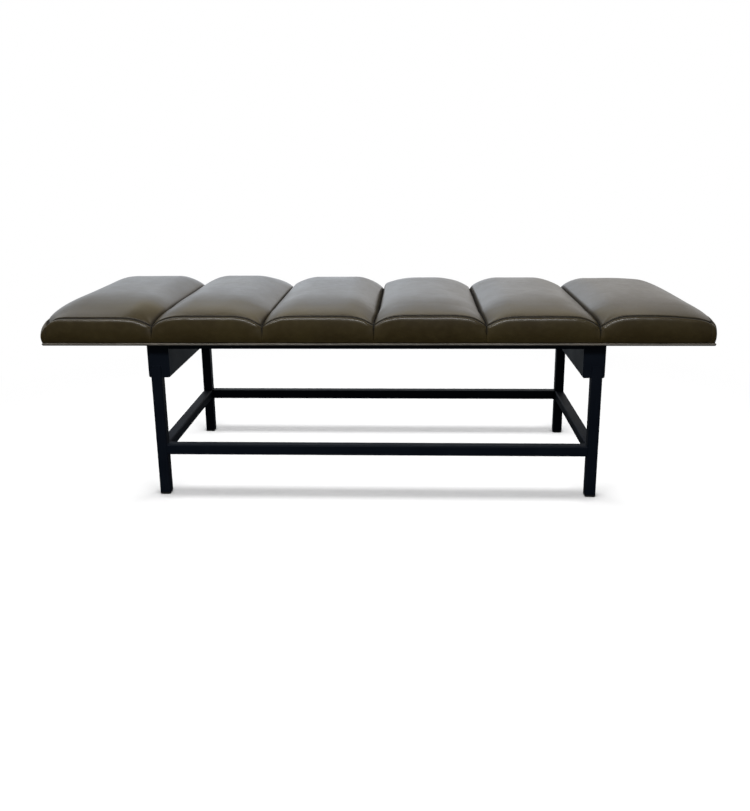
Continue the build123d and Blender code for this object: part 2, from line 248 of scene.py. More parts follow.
class Channel:
    """One stuffed channel of the seat. Across and along run from 0 to 1 over it in plan, and level
    runs from 0 at the foot of the boxing to 1 at the top seam and over the whole top."""

    def __init__(self, index):
        self.index = index
        self.end = -1 if index == 0 else 1 if index == channel_count - 1 else 0
        valley_x = (index - channel_count / 2) * channel_pitch
        self.low_x = seat_low.x if self.end == -1 else valley_x
        self.high_x = seat_high.x if self.end == 1 else valley_x + channel_pitch
        left_width, left_wall, right_width, right_wall, self.lift, self.seam_rise = channel_traits[index]
        self.shoulders = {-1: (left_width, left_wall), 1: (right_width, right_wall)}
        self.left_dip = valley_dips[max(index - 1, 0)]
        self.right_dip = valley_dips[min(index, channel_count - 2)]
        self.left_shift = 0 if self.end == -1 else valley_shifts[index - 1]
        self.right_shift = 0 if self.end == 1 else valley_shifts[index]

    def sides(self, across):
        """Each side, which is a valley or the seat's end, with the distance from it in plan, its
        shoulder's width and the share of the shoulder that stands upright."""
        width = self.high_x - self.low_x
        return (-1, across * width, *self.shoulders[-1]), (1, (1 - across) * width, *self.shoulders[1])

    def to_valley(self, across):
        """Distance in plan from the nearest valley."""
        gaps = [gap for side, gap, _, _ in self.sides(across) if side != self.end]
        return np.minimum.reduce(gaps + [np.full_like(across, far_away)])

    def edges(self, along):
        """Places of the left and the right valley or end, which stray from the frame's over the top."""
        stray = smooth_step(along * 2 * half_depth, 0, valley_shift_reach)
        return self.low_x + self.left_shift * stray, self.high_x + self.right_shift * stray

    def top_level(self, across, along, shrink=0.0):
        """Height of the top at a place in plan."""
        front, back = along * 2 * half_depth, (1 - along) * 2 * half_depth
        to_face = np.minimum(front, back)
        dip = self.left_dip + (self.right_dip - self.left_dip) * across
        dip = dip * np.exp(-to_face / valley_dip_reach)
        low_share = 1.0
        high_share = slope(front, front_slope, front_power) * slope(back, back_slope, back_power)
        middle = smooth_step(to_face, 0, seam_shoulder_reach)
        for side, gap, width, wall in self.sides(across):
            rise = flank(gap, width, wall)
            if side == self.end:
                high_share = high_share * (end_share + (1 - end_share) * rise)
                fall, fall_width = end_fall[side]
                at_corner = np.exp(-to_face / corner_dip_reach) * (1 - round_rise(gap, corner_dip_width))
                drop = fall * (1 - round_rise(gap, fall_width)) + corner_dip[side] * at_corner
                low_share = low_share * (1 - drop / self.seam_rise)
            else:
                high_share = high_share * rise
                seam_rise = slope(gap, seam_shoulder, seam_shoulder_power)
                low_share = low_share * (seam_rise + (rise - seam_rise) * middle)
        crown_rise = seat_high.z - valley_level - self.seam_rise + self.lift
        full = (self.seam_rise + dip) * low_share + crown_rise * high_share
        shrunk = shrink * smooth_step(high_share, shrink_low_share, shrink_high_share)
        return valley_level - dip + full - shrunk

    def place(self, params, shrink):
        """Points of the leather for rows of across, along and level."""
        across, along, level = params.T
        u, v = 2 * across - 1, 2 * along - 1
        top = self.top_level(across, along, shrink)
        drop = (top - foot_level) * (1 - level)
        under = np.clip(1 - level / bulge_level_share, 0, 1) ** 2
        over = np.clip((level - bulge_level_share) / (1 - bulge_level_share), 0, 1) ** 2
        roll_depth = math.sqrt(roll_radius ** 2 - (roll_radius - roll_inset) ** 2)
        rolled = roll_radius - np.sqrt(roll_radius ** 2 - np.clip(roll_depth - drop, 0, None) ** 2)
        groove = np.zeros_like(across)
        for side, gap, _, _ in self.sides(across):
            if side != self.end:
                groove += 1 - np.sqrt(slope(gap, groove_width, groove_power))
        groove *= groove_at_foot + (groove_at_seam - groove_at_foot) * level
        face = foot_inset * under + face_lean * over + rolled + boxing_bow * u * u + groove
        end = end_foot_inset * under + end_lean * over + rolled + end_bow.get(self.end, 0) * v * v
        low_x, high_x = self.edges(along)
        low_x = low_x + (end if self.end == -1 else 0)
        high_x = high_x - (end if self.end == 1 else 0)
        y_edge = -half_depth + face
        x = low_x + (high_x - low_x) * across
        y = y_edge * (1 - 2 * along)
        if self.end:
            edge_x = low_x if self.end == -1 else high_x
            rounder = seam_corner[self.end] - boxing_corner
            radius = boxing_corner + rounder * level ** boxing_corner_power
            for face_side in (-1, 1):
                edge_y = -face_side * y_edge
                x, y = round_corner(x, y, edge_x, edge_y, -self.end, -face_side, radius)
        return np.stack([x, y, foot_level + (top - foot_level) * level], 1)


class Patches:
    """The vertex numbers of a channel's top, front, back and end, which share the vertices on their
    seams, and the place of each vertex as across, along and level."""

    def __init__(self, channel, finer):
        across, along = crowd(columns * finer, column_ease), crowd(rows * finer, row_ease)
        level = 1 - (1 - np.linspace(0, 1, levels * finer + 1)) ** level_power
        n_across, n_along, n_level = len(across), len(along), len(level) - 1
        self.top = np.arange(n_along * n_across).reshape(n_along, n_across)
        self.count = self.top.size
        self.front = np.vstack([self.more(n_level, n_across), self.top[0]])
        self.back = np.vstack([self.more(n_level, n_across), self.top[-1]])
        self.end = None
        if channel.end:
            column = 0 if channel.end == -1 else -1
            inner = self.more(n_level, n_along - 2)
            sides = self.front[:-1, [column]], self.back[:-1, [column]]
            self.end = np.vstack([np.hstack([sides[0], inner, sides[1]]), self.top[:, column]])
        self.params = np.zeros((self.count, 3))
        self.fill(self.top, across[None, :], along[:, None], 1)
        self.fill(self.front, across[None, :], 0, level[:, None])
        self.fill(self.back, across[None, :], 1, level[:, None])
        if channel.end:
            self.fill(self.end, (1 + channel.end) / 2, along[None, :], level[:, None])

    def more(self, n_rows, n_columns):
        """A block of new vertex numbers."""
        block = self.count + np.arange(n_rows * n_columns).reshape(n_rows, n_columns)
        self.count += block.size
        return block

    def fill(self, patch, across, along, level):
        """Notes the place of each vertex of a patch."""
        for axis, value in enumerate((across, along, level)):
            self.params[patch, axis] = np.broadcast_to(value, patch.shape)

    def each(self):
        """The patches, each with whether its quads have to be turned over to face out."""
        found = [(self.top, False), (self.front, False), (self.back, True)]
        if self.end is not None:
            found.append((self.end, self.params[self.end[0, 1], 0] == 0))
        return found

    def quads(self):
        """All the quads, facing out."""
        return np.vstack([grid_quads(patch, turned) for patch, turned in self.each()])


def halve(values, axis):
    """One subdivision along an axis, with the rule of a cubic B-spline and the ends kept."""
    v = np.moveaxis(values, axis, 0)
    fine = np.empty((2 * len(v) - 1,) + v.shape[1:])
    fine[1::2] = (v[:-1] + v[1:]) / 2
    fine[2:-1:2] = (v[:-2] + 6 * v[1:-1] + v[2:]) / 8
    fine[0], fine[-1] = v[0], v[-1]
    return np.moveaxis(fine, 0, axis)


def calm(values):
    """Smooths a patch's moves, and keeps a share of its wrinkles."""
    smooth = values.copy()
    for _ in range(calm_passes):
        smooth[1:-1] = (smooth[:-2] + 2 * smooth[1:-1] + smooth[2:]) / 4
        smooth[:, 1:-1] = (smooth[:, :-2] + 2 * smooth[:, 1:-1] + smooth[:, 2:]) / 4
    return smooth + wrinkle_share * (values - smooth)


def mesh_object(name, points, faces):
    """A mesh object from points and faces, shaded smooth."""
    mesh = bpy.data.meshes.new(name)
    mesh.from_pydata([tuple(p) for p in points], [], [tuple(int(i) for i in f) for f in faces])
    mesh.validate()
    mesh.polygons.foreach_set("use_smooth", [True] * len(mesh.polygons))
    obj = bpy.data.objects.new(name, mesh)
    bpy.context.scene.collection.objects.link(obj)
    return obj


def read_points(mesh):
    """A mesh's vertex places as an array."""
    found = np.zeros(len(mesh.vertices) * 3)
    mesh.vertices.foreach_get("co", found)
    return found.reshape(-1, 3)


def held_points(channel, patches):
    """The vertices where the leather is sewn or tacked down: seams, valleys and foot."""
    across, along, level = patches.params.T
    on_seam = (level == 1) & ((along == 0) | (along == 1) | (across == 0) | (across == 1))
    in_valley = ((across == 0) & (channel.end != -1)) | ((across == 1) & (channel.end != 1))
    return on_seam | in_valley | (level == 0)


def simulate(sheets):
    """Blows the leather up as cloth held at its seams, and returns how far each point of each sheet
    moved. Sheets are channels with their patches and starting points."""
    scene = bpy.context.scene
    made = []
    for channel, patches, points in sheets:
        obj = mesh_object("leather_sim", points, patches.quads())
        group = obj.vertex_groups.new(name="held")
        group.add([int(i) for i in np.flatnonzero(held_points(channel, patches))], 1.0, "REPLACE")
        cloth = obj.modifiers.new("Cloth", "CLOTH")
        settings = cloth.settings
        settings.quality = sim_quality
        settings.mass = sim_mass
        settings.tension_stiffness = sim_stretch_stiffness
        settings.compression_stiffness = sim_stretch_stiffness
        settings.shear_stiffness = sim_shear_stiffness
        settings.bending_stiffness = sim_bend_stiffness
        settings.use_pressure = True
        settings.uniform_pressure_force = sim_pressure
        settings.effector_weights.gravity = 0
        settings.vertex_group_mass = "held"
        cloth.collision_settings.use_collision = False
        cloth.collision_settings.use_self_collision = False
        cloth.point_cache.frame_start, cloth.point_cache.frame_end = 1, sim_frames
        made.append(obj)
    for number in range(1, sim_frames + 1):
        scene.frame_set(number)
    moves = []
    graph = bpy.context.evaluated_depsgraph_get()
    for obj, (_, patches, points) in zip(made, sheets):
        applied = bpy.data.meshes.new_from_object(obj.evaluated_get(graph))
        move = read_points(applied) - points
        size = np.linalg.norm(move, axis=1, keepdims=True) + 1e-9
        moves.append(move * np.tanh(size / sim_cap) * sim_cap / size)
        bpy.data.objects.remove(obj)
        bpy.data.meshes.remove(applied)
    scene.frame_set(1)
    return moves


def surface_detail(channel, patches, points):
    """How far each point moves out along its normal for seams, puckers and folds, and how much painted
    shade it takes along the seams and valleys, from 0 to 1."""
    across, along, level = patches.params.T
    rng = np.random.default_rng(detail_seed + channel.index)
    on_top = level == 1
    front, back = along * 2 * half_depth, (1 - along) * 2 * half_depth
    drop = (channel.top_level(across, along) - foot_level) * (1 - level)
    to_face = np.minimum(front, back)
    to_end = np.full_like(across, far_away)
    for side, gap, _, _ in channel.sides(across):
        if side == channel.end:
            to_end = gap
    seam_gap = np.where(on_top, np.minimum(to_face, to_end), drop)
    to_valley = channel.to_valley(across)
    move = -seam_depth * np.exp(-(seam_gap / np.where(on_top, seam_width_on_top, seam_width)) ** 2)
    # Painted shade: a dark line along the top's seam edges, a band just under the seam on the boxing,
    # and a dark line in the valleys
    shade_under_seam = smooth_step(seam_gap, shade_drop, shade_drop_full)
    painted_crease_shade = np.where(on_top, np.exp(-(seam_gap / seam_shade_width) ** 2), shade_under_seam)
    in_valley = np.exp(-(to_valley / np.where(on_top, valley_shade, boxing_valley_shade)) ** 2)
    upward = smooth_step(level, valley_shade_low_share, valley_shade_high_share)
    painted_crease_shade = np.maximum(painted_crease_shade, in_valley * upward)
    if channel.end:
        on_face = ~on_top & ((along == 0) | (along == 1))
        off = np.where(on_face, np.abs(to_end - corner_seam_place), far_away)
        fade = smooth_step(level, 0, corner_seam_low_share)
        fade = fade * smooth_step(level, 1, corner_seam_high_share)
        move -= corner_seam_share * seam_depth * np.exp(-(off / seam_width) ** 2) * fade
        # Painted shade along the corner seam
        painted_crease_shade = np.maximum(painted_crease_shade, corner_shade_share * fade * np.exp(-(off / seam_shade_width) ** 2))
    run = np.where(to_end < to_face, points[:, 1], points[:, 0])
    wave = np.zeros_like(run)
    for k in range(pucker_waves):
        size = rng.uniform(pucker_shortest, pucker_longest)
        phase = rng.uniform(0, full_turn)
        wave += np.sin(2 * np.pi * run / size + phase + pucker_turn_per_metre * to_face * (k % 2))
    wave /= math.sqrt(pucker_waves)
    near = np.exp(-seam_gap / pucker_reach)
    near = near * (1 - np.exp(-(seam_gap / (pucker_start_share * seam_width)) ** 2))
    pucker = np.where(on_top, pucker_share_on_top, pucker_share_below) * pucker_height
    move += pucker * wave * near * smooth_step(to_valley, 0, pucker_fade)
    for side, gap, _, _ in channel.sides(across):
        if side == channel.end:
            continue
        up = np.where(on_top, to_face, -drop)
        reach = np.hypot(gap, up)
        angle = np.arctan2(up, gap + fold_start)
        folds = np.sin(fold_counts[0] * angle + rng.uniform(0, full_turn))
        folds = folds + fold_second_share * np.sin(fold_counts[1] * angle + rng.uniform(0, full_turn))
        move += fold_height * folds * np.exp(-reach / fold_reach) * smooth_step(gap, 0, fold_fade)
    drag = drag_height * np.exp(-((front - drag_place) / drag_reach) ** 2) * on_top
    shift = Vector((0, 0, detail_shift * channel.index))
    for k, (x, y, z) in enumerate(points):
        move[k] += sway_height * noise.noise(Vector((x, y, z)) / sway_size + shift)
        if drag[k] > drag_least:
            move[k] += drag[k] * noise.noise(Vector((x / drag_length, y / drag_width, 0)) + shift)
    fade = smooth_step(to_valley, 0, detail_fade) * smooth_step(level, 0, detail_foot_share)
    return move * fade, painted_crease_shade


def close_under(channel, patches, points):
    """Points and faces that close a channel: walls down into the valleys, the hollow over the board
    and the base foam, and the foot of the boxing."""
    pocket_y = board_high.y + pocket_gap
    pocket_top = foam_high.z + pocket_gap
    extra, faces, inner_columns = [], [], []
    for side, column in ((-1, 0), (1, -1)):
        front, back = patches.front[:-1, column], patches.back[:-1, column]
        border = np.concatenate([front, patches.top[:, column], back[::-1]])
        at_end = side == channel.end
        first = patches.count + len(extra)
        for x, y, z in points[border]:
            inner_x = side * (board_high.x + pocket_gap) if at_end else x - side * pocket_gap
            inner_y = math.copysign(min(abs(y) - pocket_thick, pocket_y), y)
            extra.append((inner_x, inner_y, min(max(z - pocket_thick, foot_level), pocket_top)))
        inner = first + np.arange(len(border))
        inner_columns.append(inner)
        if at_end:
            faces.append(inner if side == -1 else inner[::-1])
        else:
            walls = np.stack([border[:-1], border[1:], inner[1:], inner[:-1]], 1)
            faces.extend(walls if side == -1 else walls[:, ::-1])
    left, right = inner_columns
    faces.extend(np.stack([left[:-1], left[1:], right[1:], right[:-1]], 1))
    feet = [patches.front[0], patches.back[0][::-1]]
    for foot, inner_ends in zip(feet, ((right[0], left[0]), (left[-1], right[-1]))):
        faces.append(np.concatenate([foot[::-1], inner_ends[::-1]]))
    if channel.end:
        inner = left if channel.end == -1 else right
        foot = patches.end[0] if channel.end == -1 else patches.end[0][::-1]
        ends = (inner[-1], inner[0]) if channel.end == -1 else (inner[0], inner[-1])
        faces.append(np.concatenate([foot, ends]))
    return extra, faces


def make_channels():
    """The six stuffed leather channels."""
    channels = [Channel(index) for index in range(channel_count)]
    coarse = [Patches(channel, 1) for channel in channels]
    shrink = sim_growth
    moves = simulate([(c, p, c.place(p.params, shrink)) for c, p in zip(channels, coarse)])
    made = []
    for channel, rough, move in zip(channels, coarse, moves):
        patches = Patches(channel, 2)
        fine_move = np.zeros((patches.count, 3))
        for (patch, _), (fine_patch, _) in zip(rough.each(), patches.each()):
            fine_move[fine_patch] = halve(halve(calm(move[patch]), 0), 1)
        points = channel.place(patches.params, shrink) + fine_move
        skin = mesh_object("leather_skin", points, patches.quads())
        normals = np.zeros(patches.count * 3)
        skin.data.vertices.foreach_get("normal", normals)
        bpy.data.objects.remove(skin)
        out, painted_crease_shade = surface_detail(channel, patches, points)
        points = points + normals.reshape(-1, 3) * out[:, None]
        low_x, high_x = channel.edges(patches.params[:, 1])
        if channel.end != -1:
            points[:, 0] = np.maximum(points[:, 0], low_x)
        if channel.end != 1:
            points[:, 0] = np.minimum(points[:, 0], high_x)
        extra, closing = close_under(channel, patches, points)
        piece = mesh_object(
            f"leather_channel_{channel.index + 1}",
            np.vstack([points, extra]),
            [*patches.quads(), *closing],
        )
        # Painted shade for the leather's colour: the seams' and valleys' mask, and full shade on the
        # hidden closing walls
        shade = piece.data.attributes.new("painted_crease_shade", "FLOAT", "POINT")
        shade.data.foreach_set("value", np.concatenate([painted_crease_shade, np.ones(len(extra))]))
        made.append(piece)
    return made


def make_slab(name, x_line, y_line, top, bottom):
    """A closed slab over a grid in plan, with the top and the bottom height at each of its points."""
    x, y = np.meshgrid(x_line, y_line)
    points = np.vstack([np.stack([x.ravel(), y.ravel(), z.ravel()], 1) for z in (top, bottom)])
    upper = np.arange(x.size).reshape(x.shape)
    lower = upper + x.size
    faces = [*grid_quads(upper), *grid_quads(lower, True)]
    for low_edge, high_edge in (
        (lower[0], upper[0]),
        (lower[:, -1], upper[:, -1]),
        (lower[-1][::-1], upper[-1][::-1]),
        (lower[::-1, 0], upper[::-1, 0]),
    ):
        faces.extend(np.stack([low_edge[:-1], low_edge[1:], high_edge[1:], high_edge[:-1]], 1))
    return mesh_object(name, points, faces)


def make_base_foam():
    """The foam slab, rounded along its edges and dented where the channels are drawn down."""
    half_x, half_y = foam_high.x - foam_edge_inset, foam_high.y - foam_edge_inset
    x_line = (2 * crowd(foam_columns, foam_column_ease) - 1) * half_x
    y_line = (2 * crowd(foam_rows, foam_row_ease) - 1) * half_y
    x, y = np.meshgrid(x_line, y_line)
    off_valley = np.abs((x / channel_pitch + channel_count / 2 + 0.5) % 1 - 0.5) * channel_pitch
    inside = np.abs(x) < foam_high.x - channel_pitch / 2
    dent = foam_dent_depth * np.exp(-(off_valley / foam_dent_width) ** 2) * inside
    edge = np.minimum(half_x - np.abs(x), half_y - np.abs(y))
    reach = np.clip(foam_edge_radius - edge, 0, None)
    round_off = foam_edge_radius - np.sqrt(np.clip(foam_edge_radius ** 2 - reach ** 2, 0, None))
    top = foam_high.z - dent - round_off
    return make_slab("base_foam_slab", x_line, y_line, top, np.full_like(top, foam_low.z))


def make_dust_cloth():
    """The black cloth under the board, a little slack between its staples, with a turned hem."""
    half_x, half_y = cloth_high.x, cloth_high.y
    x_line = (2 * crowd(cloth_columns, cloth_column_ease) - 1) * half_x
    y_line = (2 * crowd(cloth_rows, cloth_row_ease) - 1) * half_y
    x, y = np.meshgrid(x_line, y_line)
    spots = zip(x.ravel(), y.ravel())
    wave = np.array([noise.noise(Vector((a, b, 0)) / cloth_wave_size) for a, b in spots])
    wave = cloth_wave * wave.reshape(x.shape)
    edge = np.minimum(half_x - np.abs(x), half_y - np.abs(y))
    hem = hem_extra * (1 - smooth_step(edge, hem_fold_share * hem_width, hem_width))
    top = cloth_high.z - cloth_wave + wave
    return make_slab("dust_cloth", x_line, y_line, top, top - cloth_thick - hem)


def ring_stations(half_x, half_y, radius):
    """Stations round a rectangle with round corners, from the middle of its back: for a straight, its
    side and the place along it, and for a corner, its signs and direction."""
    found = []
    sides = [((0, 1), -1, half_x), ((-1, 0), -1, half_y), ((0, -1), 1, half_x), ((1, 0), 1, half_y)]
    for number, (out, heading, half) in enumerate(sides):
        straight = half - radius
        steps = round(2 * straight / welt_step)
        for k in range(steps + 1):
            found.append((out, heading * straight * (2 * k / steps - 1), None))
        next_out = sides[(number + 1) % 4][0]
        for k in range(1, welt_corner_steps):
            angle = math.pi / 2 * k / welt_corner_steps
            found.append((None, (out[0] + next_out[0], out[1] + next_out[1]), (
                out[0] * math.cos(angle) + next_out[0] * math.sin(angle),
                out[1] * math.cos(angle) + next_out[1] * math.sin(angle),
            )))
    return found


def ring_point(station, half_x, half_y, radius, offset):
    """The place in plan of a station on the ring moved out by an offset."""
    side, place, direction = station
    wide_x, wide_y = half_x + offset, half_y + offset
    bend = max(radius + offset, welt_least_bend)
    if side is None:
        return (
            place[0] * (wide_x - bend) + direction[0] * bend,
            place[1] * (wide_y - bend) + direction[1] * bend,
        )
    if side[0]:
        reach = wide_y - bend
        return side[0] * wide_x, min(max(place, -reach), reach)
    reach = wide_x - bend
    return min(max(place, -reach), reach), side[1] * wide_y


def make_welt():
    """The welt: a bead of leather over a cord, slightly puckered, and its flange under the board."""
    half_x, half_y = welt_high.x - welt_radius + welt_spread, welt_high.y - welt_radius + welt_spread
    middle = (welt_low.z + welt_high.z) / 2
    bead = [math.radians(a) for a in bead_angles]
    flange = [
        (-welt_radius, -welt_radius),
        (-welt_radius - flange_width, -welt_radius),
        (-welt_radius - flange_width, -welt_radius - flange_thick),
        (-welt_radius / 2, -welt_radius - flange_thick),
        (welt_radius / 4, -welt_radius - flange_thick),
    ]
    rng = np.random.default_rng(welt_seed)
    waves = []
    for _ in range(welt_waves):
        waves.append((rng.uniform(welt_shortest, welt_longest), rng.uniform(0, full_turn)))
    points, rings = [], []
    for station in ring_stations(half_x, half_y, welt_corner):
        x, y = ring_point(station, half_x, half_y, welt_corner, 0)
        run = x + welt_side_phase * y
        pucker = sum(math.sin(2 * math.pi * run / size + phase) for size, phase in waves) / len(waves)
        on_back = station[0] == (0, 1)
        lap = math.exp(-((x - welt_join_x) / welt_join_width) ** 2) if on_back else 0
        swell = welt_radius * (1 + welt_wave_share * pucker + welt_join_share * lap)
        sway = welt_sway * noise.noise(Vector((x, y, 0)) / welt_sway_size)
        ring = []
        for offset, height in [(swell * math.cos(a), swell * math.sin(a)) for a in bead] + flange:
            px, py = ring_point(station, half_x, half_y, welt_corner, offset)
            ring.append(len(points))
            points.append((px, py, middle + height + (sway if height > -welt_radius else 0)))
        rings.append(ring)
    loop = np.array(rings + rings[:1])
    loop = np.hstack([loop, loop[:, :1]])
    return mesh_object("leather_welt", points, grid_quads(loop))


def make_staples():
    """The staples that hold the dust cloth, all as one piece."""
    half_x, half_y = cloth_high.x - staple_inset, cloth_high.y - staple_inset
    bearer_middle, bearer_half = (bearer_low.x + bearer_high.x) / 2, (bearer_high.x - bearer_low.x) / 2
    places = []
    for half, across, turned in ((half_x, half_y, False), (half_y, half_x, True)):
        count = round(2 * (half - staple_length) / staple_pitch)
        for k in range(count + 1):
            along = (half - staple_length) * (2 * k / count - 1)
            off_bearer = abs(abs(along) - bearer_middle) >= bearer_half + staple_length
            if turned or off_bearer:
                places.extend((along, side * across, turned) for side in (-1, 1))
    level = cloth_high.z - cloth_thick - hem_extra
    path, section = staple_path_shares, staple_section_shares
    points, faces = [], []
    for along, across, turned in places:
        first = len(points)
        for run, lift in path:
            for wide, thick in section:
                a = along + run * staple_length
                b = across + wide * staple_width
                z = level + (lift + thick) * staple_thick
                points.append((b, a, z) if turned else (a, b, z))
        grid = first + np.arange(len(path) * len(section)).reshape(len(path), len(section))
        grid = np.hstack([grid, grid[:, :1]])
        faces.extend(grid_quads(grid, turned))
        faces.append(grid[0, :-1] if turned else grid[0, :-1][::-1])
        faces.append(grid[-1, :-1][::-1] if turned else grid[-1, :-1])
    return mesh_object("cloth_staples", points, faces)


class Nodes:
    """A node tree under construction, whose spans start and end smoothly."""

    ease = "SMOOTHSTEP"

    def __init__(self, tree):
        self.tree = tree

    def add(self, kind, inputs=(), **settings):
        """A node with its settings, and its inputs by number or name as values or outputs."""
        node = self.tree.nodes.new(kind)
        for key, value in settings.items():
            setattr(node, key, value)
        for socket, value in dict(inputs).items():
            if isinstance(value, bpy.types.NodeSocket):
                self.tree.links.new(value, node.inputs[socket])
            else:
                node.inputs[socket].default_value = value
        return node

    def span(self, value, low, high, to_low, to_high):
        """A value's range mapped to another, and held inside it."""
        inputs = {"Value": value, 1: low, 2: high, 3: to_low, 4: to_high}
        return self.add("ShaderNodeMapRange", inputs, interpolation_type=self.ease).outputs["Result"]

    def product(self, first, second):
        """Two values multiplied."""
        return self.add("ShaderNodeMath", {0: first, 1: second}, operation="MULTIPLY").outputs[0]

    def mixed(self, share, first, second):
        """Two shaders mixed."""
        return self.add("ShaderNodeMixShader", {0: share, 1: first, 2: second}).outputs[0]


class Shader(Nodes):
    """A material under construction, with short calls for its nodes and straight spans."""

    ease = "LINEAR"

    def __init__(self, name):
        self.material = bpy.data.materials.new(name)
        self.material.use_nodes = True
        super().__init__(self.material.node_tree)
        self.shader = self.tree.nodes["Principled BSDF"]
        self.place = self.add("ShaderNodeTexCoord").outputs["Object"]

    def stretched(self, x, y, z):
        """The place on the object, scaled along each axis."""
        inputs = {"Scale": (x, y, z), "Vector": self.place}
        return self.add("ShaderNodeMapping", inputs).outputs["Vector"]

    def noise(self, scale, detail=3.0, roughness=0.55, distortion=0.0, place=None):
        """Noise with so many features to the metre."""
        inputs = {"Scale": scale, "Detail": detail, "Roughness": roughness, "Distortion": distortion}
        inputs["Vector"] = place or self.place
        return self.add("ShaderNodeTexNoise", inputs).outputs["Fac"]

    def cells(self, scale, feature="F1", place=None):
        """Voronoi cells with so many to the metre."""
        inputs = {"Scale": scale, "Vector": place or self.place}
        return self.add("ShaderNodeTexVoronoi", inputs, feature=feature).outputs["Distance"]

    def blend(self, share, first, second):
        """Two colours mixed. A colour is an output or three numbers."""
        ends = [c if isinstance(c, bpy.types.NodeSocket) else (*c, 1) for c in (first, second)]
        return self.add("ShaderNodeMix", {0: share, 6: ends[0], 7: ends[1]}, data_type="RGBA").outputs[2]

    def sum(self, first, second):
        """Two values added."""
        return self.add("ShaderNodeMath", {0: first, 1: second}, operation="ADD").outputs[0]

    def attribute(self, name):
        """A value stored on the mesh's points."""
        return self.add("ShaderNodeAttribute", attribute_name=name).outputs["Fac"]

    def bump(self, height, distance, **after):
        """Bump of that height in metres, over the normals of another."""
        inputs = {"Distance": distance, "Height": height, **after}
        return self.add("ShaderNodeBump", inputs).outputs["Normal"]

    def finish(self, colour, roughness, normal, **sockets):
        """Links the shader and sets its plain sockets."""
        for socket, output in (("Base Color", colour), ("Roughness", roughness), ("Normal", normal)):
            self.tree.links.new(output, self.shader.inputs[socket])
        for name, value in sockets.items():
            self.shader.inputs[name.replace("_", " ")].default_value = value
        return self.material


def leather(name, dark, middle, light, rough_low, rough_high):
    """Smooth, finely pebbled leather with cloudy colour, duller in its creases, with painted shade
    turning the creases along seams and valleys near black.
    """
    s = Shader(name)
    cloud = s.noise(8, detail=4, distortion=0.6)
    mottle = s.noise(60, detail=5)
    colour = s.blend(s.span(cloud, 0.35, 0.68, 0, 1), dark, middle)
    colour = s.blend(s.span(mottle, 0.45, 0.75, 0, 0.5), colour, light)
    pebble = s.cells(700, "DISTANCE_TO_EDGE")
    fine = s.noise(2400, detail=2)
    lines = s.noise(110, detail=4, roughness=0.65, place=s.stretched(1, 0.35, 1))
    colour = s.blend(s.span(pebble, 0, 0.12, 0.2, 0), colour, dark)
    painted_crease_shade = s.attribute("painted_crease_shade")
    # Painted shade: near black where the crease shade mask is high
    colour = s.blend(s.span(painted_crease_shade, 0.1, 1, 0, 0.85), colour, (0.004, 0.003, 0.002))
    roughness = s.span(s.sum(mottle, s.noise(14)), 0.7, 1.35, rough_low, rough_high)
    roughness = s.sum(roughness, s.span(painted_crease_shade, 0.1, 0.8, 0, 0.6))
    first = s.bump(s.span(lines, 0.3, 0.7, 0, 1), 0.09 * mm)
    second = s.bump(s.span(pebble, 0, 0.16, 0, 1), 0.025 * mm, Normal=first)
    third = s.bump(fine, 0.008 * mm, Normal=second)
    return s.finish(colour, roughness, third, IOR=1.45, Coat_Weight=0.12, Coat_Roughness=0.3)


def powder_coat():
    """Matt black powder coat with a slight blue tint and a faint orange peel."""
    s = Shader("black_powder_coat")
    patch = s.noise(12, detail=3)
    speck = s.noise(900, detail=2)
    colour = s.blend(s.span(patch, 0.35, 0.7, 0, 1), (0.003, 0.0052, 0.0102), (0.0044, 0.0074, 0.0136))
    colour = s.blend(s.span(speck, 0.68, 0.82, 0, 0.5), colour, (0.01, 0.012, 0.016))
    roughness = s.span(s.sum(patch, speck), 0.7, 1.4, 0.52, 0.66)
    peel = s.bump(s.noise(520, detail=2), 0.02 * mm)
    return s.finish(colour, roughness, peel, IOR=1.21)


def plywood():
    """Birch plywood: long grain on the faces and plies on the edges."""
    s = Shader("birch_plywood")
    grain = s.noise(60, detail=6, distortion=1.2, place=s.stretched(0.12, 1, 1))
    inputs = {"Scale": 110, "Vector": s.place}
    plies = s.add("ShaderNodeTexWave", inputs, wave_type="BANDS", bands_direction="Z").outputs["Fac"]
    colour = s.blend(s.span(grain, 0.3, 0.7, 0, 1), (0.52, 0.36, 0.2), (0.66, 0.5, 0.32))
    colour = s.blend(s.span(plies, 0.4, 0.6, 0, 0.35), colour, (0.36, 0.22, 0.11))
    roughness = s.span(grain, 0.3, 0.7, 0.6, 0.75)
    return s.finish(colour, roughness, s.bump(grain, 0.08 * mm), IOR=1.45)


def open_foam():
    """Pale upholstery foam with open cells."""
    s = Shader("cut_foam")
    cells = s.cells(800)
    colour = s.blend(s.span(cells, 0.1, 0.7, 0, 1), (0.42, 0.38, 0.26), (0.72, 0.68, 0.52))
    roughness = s.span(cells, 0, 1, 0.85, 0.95)
    return s.finish(colour, roughness, s.bump(cells, 0.4 * mm))


def spun_cloth():
    """Thin black spun-bonded cloth with its rows of bonding dots."""
    s = Shader("spun_black_cloth")
    dots = s.cells(450, place=s.stretched(1, 1, 0.01))
    fibres = s.noise(1500, detail=3, place=s.stretched(1, 0.3, 1))
    colour = s.blend(s.span(dots, 0.15, 0.5, 0, 1), (0.006, 0.006, 0.007), (0.018, 0.018, 0.02))
    colour = s.blend(s.span(fibres, 0.55, 0.75, 0, 0.5), colour, (0.04, 0.04, 0.043))
    roughness = s.span(fibres, 0.3, 0.7, 0.8, 0.95)
    first = s.bump(dots, 0.15 * mm)
    return s.finish(colour, roughness, s.bump(fibres, 0.08 * mm, Normal=first))


